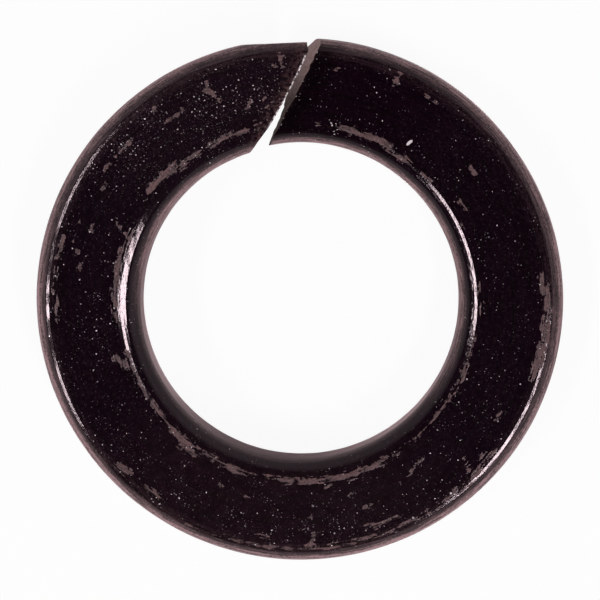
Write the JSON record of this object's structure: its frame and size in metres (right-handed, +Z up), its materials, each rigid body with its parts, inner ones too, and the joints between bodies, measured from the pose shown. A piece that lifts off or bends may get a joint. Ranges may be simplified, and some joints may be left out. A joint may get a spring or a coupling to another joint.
{
  "type": "spring lock washer",
  "caption": "Split spring lock washer: a flat round-edged ring cut through on a slant, its ends sprung apart, black finish worn brown along the edges.",
  "frame": {"origin": "on the axis of the bolt hole, level with the lowest edge of the low end", "axes": "+Z up along the axis of the bolt hole; +Y towards the cut; the coil climbs clockwise seen from +Z"},
  "size_m": [0.0205, 0.0204, 0.005],
  "materials": {
    "blackened_steel": "semi-gloss black, worn brown in patches"
  },
  "bodies": {
    "root": {"washer": "blackened_steel"}
  },
  "joints": []
}
